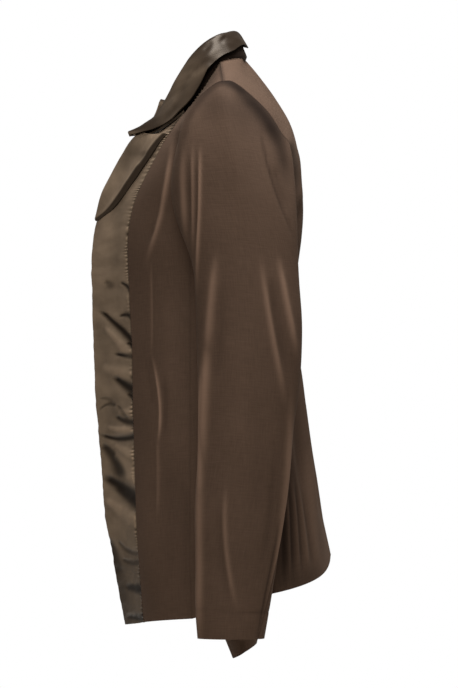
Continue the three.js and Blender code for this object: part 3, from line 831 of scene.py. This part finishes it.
lapelSatin = {
    "rows": 90,
    "columns": 34,
    "rollColumns": 8,
    "lift": 2.6,
    "rollLift": 4.0,
    "rollShare": 0.5,              # share of the width that rises into the roll
    "opens": 0.3,                  # share of the length over which it opens from the break
    "settles": 8,                  # mm from the falling edge where it lies clear of the band
    "edgeLift": 0.15,
    "puff": {"high": 0.9, "at": 11, "wide": 6},
    "ripple": {"wave": 50, "height": 0.35, "seed": 21},
    "turnUnder": {"narrow": 4.5, "more": 5.5, "soft": 4.5, "dark": 0.84},
    "rollTurn": 0.97,              # of a half turn, round the front edge
    "rollTuck": 0.6,
    "from": 1.13,
    "to": 1.58,
    "width": table("at width", [
        [1.13, 3],
        [1.19, 34],
        [1.29, 58],
        [1.42, 72],
        [1.58, 78],
    ]),
    "wrinkles": creases([
        [-92, -108, -100, -130, -112, -152, 9, 1.2, 0],
        [-84, -102, -84, -112, -88, -122, 6, -0.9, 0.1],
        [-108, -134, -123, -155, -134, -176, 9, 0.6, 0.10],
        # broad painted shade over the upper lapel
        [-80, -86, -100, -108, -116, -122, 17, 0, 0.42],
    ]),
}


def addLapel(side, suffix):
    s = lapelSatin
    heights = np.linspace(s["from"], s["to"], s["rows"] + 1)
    width = valueAt(s["width"], "width", heights)
    share = shareOf(width, heights)
    t = np.linspace(0, 1, s["columns"] + 1)
    points = frontPoint(share[:, None] * t[None, :], heights[:, None])
    down = np.linspace(0, 1, s["rows"] + 1)[:, None]
    opened = smooth(down, 0, s["opens"])
    roll = 1 - smooth(t, 0, s["rollShare"])[None, :]
    edge = (1 - t)[None, :] * width[:, None]  # distance to the falling edge
    settle = smooth(edge, 0, s["settles"])
    puff = s["puff"]["high"] * np.exp(-(((edge - s["puff"]["at"]) / s["puff"]["wide"]) ** 2)) * opened
    lift = body["satinWall"] + s["lift"] * (s["edgeLift"] + (1 - s["edgeLift"]) * settle)
    lift = lift + roll * opened * s["rollLift"] + puff
    wrinkle, dark = creaseField(points[..., 1], points[..., 2], s["wrinkles"])
    lift += (wrinkle + ripple(points, side, **s["ripple"])) * settle
    # painted shadow along the lapel's lifted outer edge
    under = s["turnUnder"]
    fold = under["narrow"] + under["more"] * np.sin(math.pi * down)
    dark = deepen(dark, under["dark"] * (1 - smooth(edge, fold, fold + under["soft"])))
    # the roll closes round the front edge on to the band
    normal = normalsOf(points)
    if np.mean(normal[..., 0]) < 0:
        normal = -normal
    backwards = unit(points[:, 0] - points[:, 1])
    top = lift[:, 0]
    middle, radius = (top - s["rollTuck"]) / 2, (top + s["rollTuck"]) / 2
    turned = np.linspace(math.pi * s["rollTurn"], 0, s["rollColumns"] + 1)[:-1]
    rolled = np.stack([
        points[:, 0] + normal[:, 0] * (middle + radius * math.cos(a))[:, None]
        + backwards * (radius * math.sin(a))[:, None] for a in turned
    ], axis=1)
    sheet = np.concatenate([rolled, points + normal * lift[..., None]], axis=1)
    shade = np.concatenate([np.zeros((len(heights), s["rollColumns"])), dark], axis=1)
    sheet[..., 0] *= side
    piece = layCloth(f"satin_lapel_{suffix}", sheet, np.zeros(shade.shape), shade, body["satinWall"],
                     np.array([side * 0.8, -1.0, 0]), bronzeSatin)
    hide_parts(f"lapel_{suffix}")


collar = {
    "along": 190,
    "round": 34,
    "neckGap": 2.4,
    "shoulder": 0.3,               # share of the collar at the shoulder seam
    "frontReach": 0.44,            # of body height, from the shoulder seam to its point
    "lean": 0.3,
    "fallen": (0.35, 0.6),
    "ripples": ({"wave": 38, "height": 0.5, "seed": 3}, {"wave": 17, "height": 0.2, "seed": 4}),
    "standAlong": 120,
    "standRows": 8,
    "standGap": 0.5,
    "standEnd": 0.64,
    "standRound": (0, 0.4),
    # the stand is painted nearly black, a painted shadow under the collar's fall
    "standShade": 0.92,
    "allowance": (1.4, 6.5),       # inwards and down
    "roll": table("at x y z", [
        [0.00, 0, 18.5, 37],
        [0.12, 34, 13, 36.5],
        [0.25, 58, -2, 32],
        [0.37, 66.5, -20, 21],
        [0.50, 67, -38, 2],
        [0.62, 62, -51, -19.5],
        [0.75, 54, -62.5, -41],
        [0.87, 46, -77, -62.5],
        [1.00, 36, -103, -78],
    ]),
    "fall": table("at x y z", [
        [0.00, 0, 33, 19.4],
        [0.12, 40, 26, 21.5],
        [0.25, 68, 15.5, 14],
        [0.37, 83, 2, 7],
        [0.50, 94, -12.5, -6],
        [0.62, 100, -25, -28],
        [0.75, 102, -43, -52],
        [0.87, 83, -67, -72],
        [1.00, 38, -105, -82],
    ]),
    "wrinkles": creases([
        [-36, -14, -20, 2, -2, 14, 5, 1.4, -0.10],
        [-30, -19, -17, -9.7, -4, -5, 2.8, 0.9, -0.50],
        [-44, -29, -33, -19, -24, -13, 2.8, 0.8, -0.42],
        [-35, -14, -23, -4, -11, 5, 2.4, -0.9, 0.45],
        [-50, -42, -40, -26, -32, -14, 4, -1.2, 0.34],
        [-19, 12, -14, 18, -8, 24, 2.2, -0.8, 0.50],
        [-2, 20, 4, 27, 8, 32, 2, -0.7, 0.42],
        [2, 10, -17, -15, -38, -46, 3.6, -0.8, 0.45],
        [-62, -62, -54, -50, -50, -40, 3, 1, -0.24],
        [-54, -56, -45, -43, -37, -28, 8, 0, 0.36],
        [-70, -72, -58, -60, -48, -48, 3.2, -0.9, 0.34],
        [-108, -84, -78, -79.5, -56, -70, 3.4, -1, 0.85],
        [-92, -74, -80, -68, -68, -58, 4, 0.9, -0.20],
        [6, 18, 16, 26, 24, 30, 3.5, 0.5, -0.10],
        [14, 14, 22, 20, 30, 22, 3, -0.5, 0.30],
    ]),
    # painted shade over the whole collar, and more where it faces up to the overhead lamp
    "shade": 0.47,
    "topShade": 0.5,
    "topShadeFrom": (0.1, 0.7),
    "farTip": {"at": 0.815, "wide": 0.085, "high": 15, "sharp": 1.4},
}


def collarPoint(turn, along):
    turn, along = np.broadcast_arrays(np.asarray(turn, float), np.asarray(along, float))
    hand = np.where(along < 0, -1.0, 1.0)
    reach = np.abs(along)
    roll, fall = pointAt(collar["roll"], reach), pointAt(collar["fall"], reach)
    shoulder, neckHeight = collar["shoulder"], body["backNeckHeight"]
    back = pointAt(body["backNeck"], neckHeight + reach / shoulder * (2 - neckHeight))
    front = pointAt(body["frontEdge"], 2 - (reach - shoulder) / (1 - shoulder) * collar["frontReach"])
    tip = collar["farTip"]
    stands = np.clip(1 - np.abs(reach - tip["at"]) / tip["wide"], 0, 1) ** tip["sharp"]
    roll[..., 2] += tip["high"] * stands * (hand < 0)  # the right point stands up a little
    neck = pick(reach <= shoulder, back, front)
    neck = neck + unit(roll - neck) * collar["neckGap"]
    middle = (8 * roll - neck - fall) / 6
    lean = collar["lean"] * (neck - fall)
    point = curve(neck, middle + lean, middle - lean, fall, turn)
    point[..., 0] *= hand
    return point


def addCollar():
    s = collar
    along = np.linspace(-1, 1, s["along"] + 1)
    turn = np.linspace(0, 1, s["round"] + 1)
    points = collarPoint(turn[None, :], along[:, None])
    lift, dark = creaseField(points[..., 1], points[..., 2], s["wrinkles"])
    fallen = smooth(turn, *s["fallen"])[None, :]
    lift, dark = lift * fallen, dark * fallen
    lift += sum(ripple(points, 0, **waves) for waves in s["ripples"]) * fallen
    # painted shade over the collar, stronger where it faces upwards
    upright = np.abs(normalsOf(points)[..., 2])
    dark = deepen(dark, s["shade"] + s["topShade"] * smooth(upright, *s["topShadeFrom"]))
    outward = points * np.array([1, 1, 0]) + np.array([0, 30, 60])
    piece = layCloth("satin_collar", points, lift, dark, body["satinWall"], outward, bronzeSatin)
    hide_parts("collar_upper")

    along = np.linspace(-s["standEnd"], s["standEnd"], s["standAlong"] + 1)
    turn = np.linspace(*s["standRound"], s["standRows"] + 1)
    points = collarPoint(turn[None, :], along[:, None])
    sunk = np.full(points.shape[:-1], -(body["satinWall"] + s["standGap"]))
    # the strip's own face is turned to the neck
    outward = np.array([0, -20.0, 0]) - points * np.array([1, 1, 0])
    # the seam allowance lies inside the neck edge
    inwards, down = s["allowance"]
    turned = [points[:, :1] + unit(outward[:, :1]) * inwards - np.array([0, 0, down * share])
              for share in (1.0, 0.5)]
    points = np.concatenate([*turned, points], axis=1)
    sunk, outward = (np.concatenate([part[:, :2], part], axis=1) for part in (sunk, outward))
    piece = layCloth("cloth_stand", points, sunk, np.full(sunk.shape, s["standShade"]), body["clothWall"],
                     outward, brownCloth)
    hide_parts("collar_stand")


headColumns = "at angle dx dy dz reach"
sleeves = {
    "start": -250,
    "frontSeam": 118,
    "backSeam": 276,
    "frontSeamHeight": 1.09,
    "backSeamHeight": 1.36,
    "headRows": 66,
    "armRows": 120,
    "topColumns": (44, 60),
    "underColumns": (6, 18, 16),
    "ripple": {"wave": 110, "height": 0.6, "seed": 31},
    "seam": {"depth": 0.7, "dark": 0.34},
    "sister": (4, 16, 0.9),
    "outside": (190, 215),         # x over which the top sleeve's folds come in
    "crown": (60, 30),             # mm below the shoulder, above which they run all round
    "headRowsCalmed": 5,
    "headCalm": 0.85,
    "headSeam": {"dark": 0.6, "wide": 2.2},
    "ease": {"high": 0.5, "pitch": 2.3, "wander": 9, "sway": 17, "fades": 9},
    "hem": {"above": 32, "deep": 0.45, "wide": 1.4, "dark": 0.3, "darkWide": 1.2},
    "flat": {"top": (0.235, 0.64), "under": (0.135, 0.53)},
    "turn": table("at turn", [
        [0.00, -10],
        [0.60, -8],
        [0.80, 8],
        [0.90, 22],
        [1.00, 34],
    ]),
    "frontHead": table(headColumns, [
        [1.00, 132, 0.62, -0.25, -0.74, 48],
        [1.15, 112, 0.70, -0.30, -0.65, 80],
        [1.30, 93, 0.78, -0.34, -0.52, 120],
        [1.50, 68, 0.80, -0.32, -0.50, 160],
        [1.70, 42, 0.84, -0.22, -0.50, 190],
        [1.86, 19, 0.86, -0.10, -0.50, 205],
        [2.00, 0, 0.87, 0.02, -0.49, 210],
    ]),
    "backHead": table(headColumns, [
        [1.00, 228, 0.62, 0.25, -0.74, 48],
        [1.15, 248, 0.68, 0.34, -0.65, 80],
        [1.30, 266, 0.70, 0.34, -0.62, 115],
        [1.50, 291, 0.72, 0.22, -0.66, 150],
        [1.70, 317, 0.80, 0.12, -0.59, 185],
        [1.86, 340, 0.85, 0.06, -0.52, 205],
        [2.00, 360, 0.87, 0.02, -0.49, 210],
    ]),
    "underHead": {"dx": 0.72, "dy": 0.05, "dz": -0.69, "reach": 30},
    "left": {
        "end": -651,
        "tilt": 0,
        "area": {"top": 0.110, "under": 0.058},
        "line": table("at front back inner outer", [
            [0.00, -28.5, 89, 171, 262],
            [0.14, -26, 92, 171, 266],
            [0.28, -24, 89.5, 174, 268],
            [0.42, -21, 81.5, 181, 271],
            [0.60, -27, 73.5, 192, 275],
            [0.80, -27.5, 62.5, 200, 280],
            [0.90, -27.5, 57, 203, 282],
            [1.00, -25, 50, 205, 283],
        ]),
    },
    "right": {
        "end": -684,
        "tilt": 9,
        "area": {"top": 0.116, "under": 0.061},
        "line": table("at front back inner outer", [
            [0.00, -28.5, 89, 171, 262],
            [0.14, -26, 92, 171, 266],
            [0.28, -24, 89.5, 174, 268],
            [0.42, -21, 81.5, 181, 271],
            [0.60, -26, 72, 192, 276],
            [0.80, -17, 59, 198, 289],
            [0.90, -4, 52, 199, 298],
            [1.00, 14, 43, 200, 303],
        ]),
    },
    "folds": creases([
        # y1 z1 y2 z2 y3 z3 wide deep dark
        [-22.6, -96, -22.8, -165, -26.8, -276, 2.2, 2, -1],
        [-26.4, -106, -26.6, -160, -29, -225, 2, -0.9, 0.26],
        [-30.6, -92, -30.6, -150, -30, -225, 2.2, 1, -0.55],
        [-35.5, -112, -36, -160, -34, -215, 3.2, -1.6, 0.24],
        [-40.6, -100, -41, -150, -37.1, -215, 4.2, 1.6, -0.62],
        [-4, -215, -10.1, -279, -14.5, -345, 5.5, 2.6, -0.66],
        [-13.5, -306, -16.4, -384, -19, -470, 5, 2.4, -0.85],
        [2, -250, -2, -310, -6, -370, 7, -2, 0.12],
        [44.8, -222, 56.9, -304, 75, -400, 4, 2.8, -0.62],
        [56, -245, 65.5, -300, 79, -372, 5.5, -3, 0.20],
        [64.8, -220, 74.5, -278, 88, -345, 4, 2.4, -0.80],
        [7.6, -470, 6.7, -551, 21.6, -624, 3.2, 2.2, -0.52],
        [-1.5, -500, -1, -550, 9, -612, 6, -1.6, 0.12],
        [-17.5, -325, -20.8, -417, -23, -540, 4.4, 2, -1],
        [-21.5, -450, -23.5, -550, -23.5, -690, 5, 1.2, -0.80],
        [79.5, -360, 71.5, -500, 49, -640, 4.6, 1.8, -0.85],
        [62, -425, 57, -510, 44, -585, 4.5, -1.4, 0.16],
        [66.5, -510, 54, -585, 37, -668, 1.7, -0.8, 0.55],
        [35, -380, 44, -450, 40, -540, 14, -1.8, 0.06],
        [20, -300, 22, -380, 20, -460, 16, 1.6, -0.04],
        # the head sinks just inside the armhole seam, with painted shadow in the hollow
        [-16, -19, 14, -28.5, 42, -52, 8.5, -1.2, 0.94],
        [16, -33, 48, -62, 75, -108, 12.5, -1.6, 0.92],
        [-40, -56, 10, -54, 58, -104, 26, 0, 0.40],
        [52, -70, 68, -98, 78, -150, 9, -1, 0.60],
        [46, -72, 57, -133, 88, -214, 2, -1, 0.46],
        [14, -20, -16, -38, -42, -76, 6, -2, 0.55],
        [-30, -56, -39, -76, -44, -110, 5, -1.4, 0.34],
        [60, -120, 66, -145, 77, -180, 5, -1.4, 0.20],
    ]),
    "underFolds": creases([
        [40, -180, 48, -240, 60, -300, 8, -2, 0.1],
        [0, -200, 6, -270, 10, -330, 9, 2, 0],
        [60, -330, 66, -380, 70, -430, 8, -1.8, 0.08],
        [10, -420, 14, -500, 20, -590, 12, 1.8, 0],
    ]),
}


def turnAt(angle, down):
    s = sleeves
    turn = valueAt(s["turn"], "turn", down)
    inside = (angle >= s["frontSeam"]) & (angle <= s["backSeam"])
    within = (angle - s["frontSeam"]) / (s["backSeam"] - s["frontSeam"])
    past = np.where(angle > s["backSeam"], angle - s["backSeam"], angle + 360 - s["backSeam"])
    return turn * np.where(inside, within, 1 - past / (360 - s["backSeam"] + s["frontSeam"]))


def armPoint(sleeve, angle, down):
    angle, down = np.broadcast_arrays(np.asarray(angle, float), np.asarray(down, float))
    front, back, inner, outer = (
        valueAt(sleeve["line"], key, down) for key in ("front", "back", "inner", "outer"))
    radians = np.radians(angle + turnAt(angle, down))
    backwards = -np.sin(radians)
    x = inner + (outer - inner) / 2 * (1 + np.cos(radians))
    y = front + (back - front) / 2 * (1 + backwards)
    z = sleeves["start"] + (sleeve["end"] - sleeves["start"]) * down
    z = z + sleeve["tilt"] * backwards * down ** 4  # the cuff is tilted, the elbow isn't
    return np.stack([x, y, z], -1)


def ringPart(rows, surface, heights):
    head = {key: valueAt(rows, key, heights) for key in headColumns.split()[1:]}
    return {"point": surface(np.ones_like(heights), heights), **head}


def ringUnder(across):
    s = sleeves
    middle = 4 * across * (1 - across)
    part = {"point": sidePoint(across, np.ones_like(across))}
    for key in headColumns.split()[1:]:
        plain = s["frontHead"][key][0] * (1 - across) + s["backHead"][key][0] * across
        part[key] = plain if key == "angle" else plain * (1 - middle) + s["underHead"][key] * middle
    return part


def joined(parts):
    return {key: np.concatenate([part[key] for part in parts]) for key in parts[0]}


def sleevePoints(sleeve, ring, rows):
    s = sleeves
    start = ring["point"]
    end = armPoint(sleeve, ring["angle"], 0.0)
    leave = unit(np.stack([ring["dx"], ring["dy"], ring["dz"]], -1))
    arrive = unit(armPoint(sleeve, ring["angle"], 0.02) - end)  # a little way down the arm
    reach = ring["reach"][:, None] / 3
    down = np.linspace(0, 1, s["headRows"] + 1)[:-1]
    path = (start, start + leave * reach, end - arrive * reach, end)
    head = curve(*(point[None] for point in path), down[:, None])
    arm = armPoint(sleeve, ring["angle"][None, :], np.linspace(0, 1, rows + 1)[:, None])
    return np.concatenate([head, arm], axis=0)


def addSleeve(side, suffix):
    s = sleeves
    sleeve = s[suffix]
    low, high = s["frontSeamHeight"], s["backSeamHeight"]
    top = joined([
        ringPart(s["backHead"], backPoint, np.linspace(high, 2, s["topColumns"][0] + 1)),
        ringPart(s["frontHead"], frontPoint, np.linspace(2, low, s["topColumns"][1] + 1)[1:]),
    ])
    under = joined([
        ringPart(s["frontHead"], frontPoint, np.linspace(low, 1, s["underColumns"][0] + 1)[:-1]),
        ringUnder(np.linspace(0, 1, s["underColumns"][1] + 1)),
        ringPart(s["backHead"], backPoint, np.linspace(1, high, s["underColumns"][2] + 1)[1:]),
    ])
    for kind, ring, folds in (("top", top, s["folds"]), ("under", under, s["underFolds"])):
        points = sleevePoints(sleeve, ring, s["armRows"])
        rows = folds if side > 0 else shifted(folds, *s["sister"])
        lift, dark = creaseField(points[..., 1], points[..., 2], rows)
        outside = smooth(points[..., 0], *s["outside"]) if kind == "top" else 1.0
        lift = lift * np.maximum(outside, smooth(-points[..., 2], *s["crown"]))
        lift = (lift + ripple(points, side, **s["ripple"])) * pinned(points, (0, -1))
        dip, shade = seamDip(points, (0, -1), (), **s["seam"])
        lift += dip
        # fullness eased in at the head
        ease, around, headGap = s["ease"], runLength(points, 1)[0], runLength(points, 0)
        full = ease["high"] * np.sin(around / ease["pitch"] + np.sin(around / ease["wander"]))
        full = full * (0.6 + 0.4 * np.sin(around / ease["sway"]))
        lift += full[None, :] * np.exp(-headGap / ease["fades"])
        row = np.arange(len(points), dtype=float)[:, None]
        lift *= 1 - s["headCalm"] * (1 - smooth(row, 0, s["headRowsCalmed"]))
        # the hem, stitched above the cuff's edge, with painted shade in its groove
        hem, cuff = s["hem"], headGap[-1][None, :] - headGap
        lift -= hem["deep"] * np.exp(-(((cuff - hem["above"]) / hem["wide"]) ** 2))
        shade = np.maximum(shade, hem["dark"] * np.exp(-(((cuff - hem["above"]) / hem["darkWide"]) ** 2)))
        # painted shade along the armhole seam
        shade = np.maximum(shade, s["headSeam"]["dark"] * np.exp(-((headGap / s["headSeam"]["wide"]) ** 2)))
        points[..., 0] *= side
        centre = np.array([side * 225.0, 30.0, 0])
        outward = (points - centre) * np.array([1, 1, 0])
        piece = layCloth(f"cloth_{kind}_sleeve_{suffix}", points, lift, deepen(dark, shade),
                         body["clothWall"], outward, brownCloth, grainFrom=-1)
        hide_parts(f"{kind}_sleeve_{suffix}")


for side, suffix in ((1, "left"), (-1, "right")):
    addBack(side, suffix)
    addFront(side, suffix)
    addSide(side, suffix)
    addBand(side, suffix)
    addLapel(side, suffix)
    print("body", suffix, "laid")
    addSleeve(side, suffix)
    print("sleeve", suffix, "laid")
addCollar()
print("collar laid")

studio = {
    "floorHeight": -0.88,
    "floorSize": 1.45,
    "floorColour": (0.62, 0.585, 0.535, 1),
    "floorRoughness": 0.9,
    "sky": (0.20, 0.184, 0.168, 1),
    "lights": [
        # name, place, target, size, spread in degrees, watts
        ("overhead", (0.05, 0.2, 1.7), (0.05, 0.05, -0.1), 0.9, 150, 60),
        ("cameraSide", (2.3, -0.15, 1.35), (0.2, 0.0, 0.3), 1.3, 62, 10.5),
    ],
    "eye": (9.0, 0.010, -0.3216),
    "viewHeight": 0.7912,
}

bpy.ops.object.select_all(action="DESELECT")
bpy.ops.mesh.primitive_circle_add(vertices=96, radius=studio["floorSize"], fill_type="NGON",
                                  location=(0, 0, studio["floorHeight"]))
floor = bpy.context.object
floor.name = "floor"
paleFloor = bpy.data.materials.new("paleFloor")
paleFloor.use_nodes = True
floorSurface = paleFloor.node_tree.nodes["Principled BSDF"]
floorSurface.inputs["Base Color"].default_value = studio["floorColour"]
floorSurface.inputs["Roughness"].default_value = studio["floorRoughness"]
floor.data.materials.append(paleFloor)

world = bpy.data.worlds.new("studio")
bpy.context.scene.world = world
world.use_nodes = True
sky = world.node_tree.nodes["Background"]
seen = world.node_tree.nodes.new("ShaderNodeLightPath")
level = world.node_tree.nodes.new("ShaderNodeMix")
level.data_type = "RGBA"
level.inputs["A"].default_value = studio["sky"]
level.inputs["B"].default_value = (1, 1, 1, 1)
world.node_tree.links.new(seen.outputs["Is Camera Ray"], level.inputs["Factor"])
world.node_tree.links.new(level.outputs["Result"], sky.inputs["Color"])

for name, place, target, size, beam, watts in studio["lights"]:
    bpy.ops.object.light_add(type="AREA", location=place)
    lamp = bpy.context.object
    lamp.name = name
    lamp.data.size = size
    lamp.data.spread = math.radians(beam)
    lamp.data.energy = watts
    way = np.array(target) - np.array(place)
    tilt = math.acos(-way[2] / np.linalg.norm(way))
    lamp.rotation_euler = (tilt, 0, math.atan2(way[1], way[0]) - math.pi / 2)

bpy.ops.object.camera_add(location=studio["eye"], rotation=(math.pi / 2, 0, math.pi / 2))
camera = bpy.context.object
camera.data.lens = camera.data.sensor_width * studio["eye"][0] / studio["viewHeight"]
camera.data.clip_end = 60
bpy.context.scene.camera = camera
bpy.context.scene.view_settings.view_transform = "Standard"
print("studio ready")
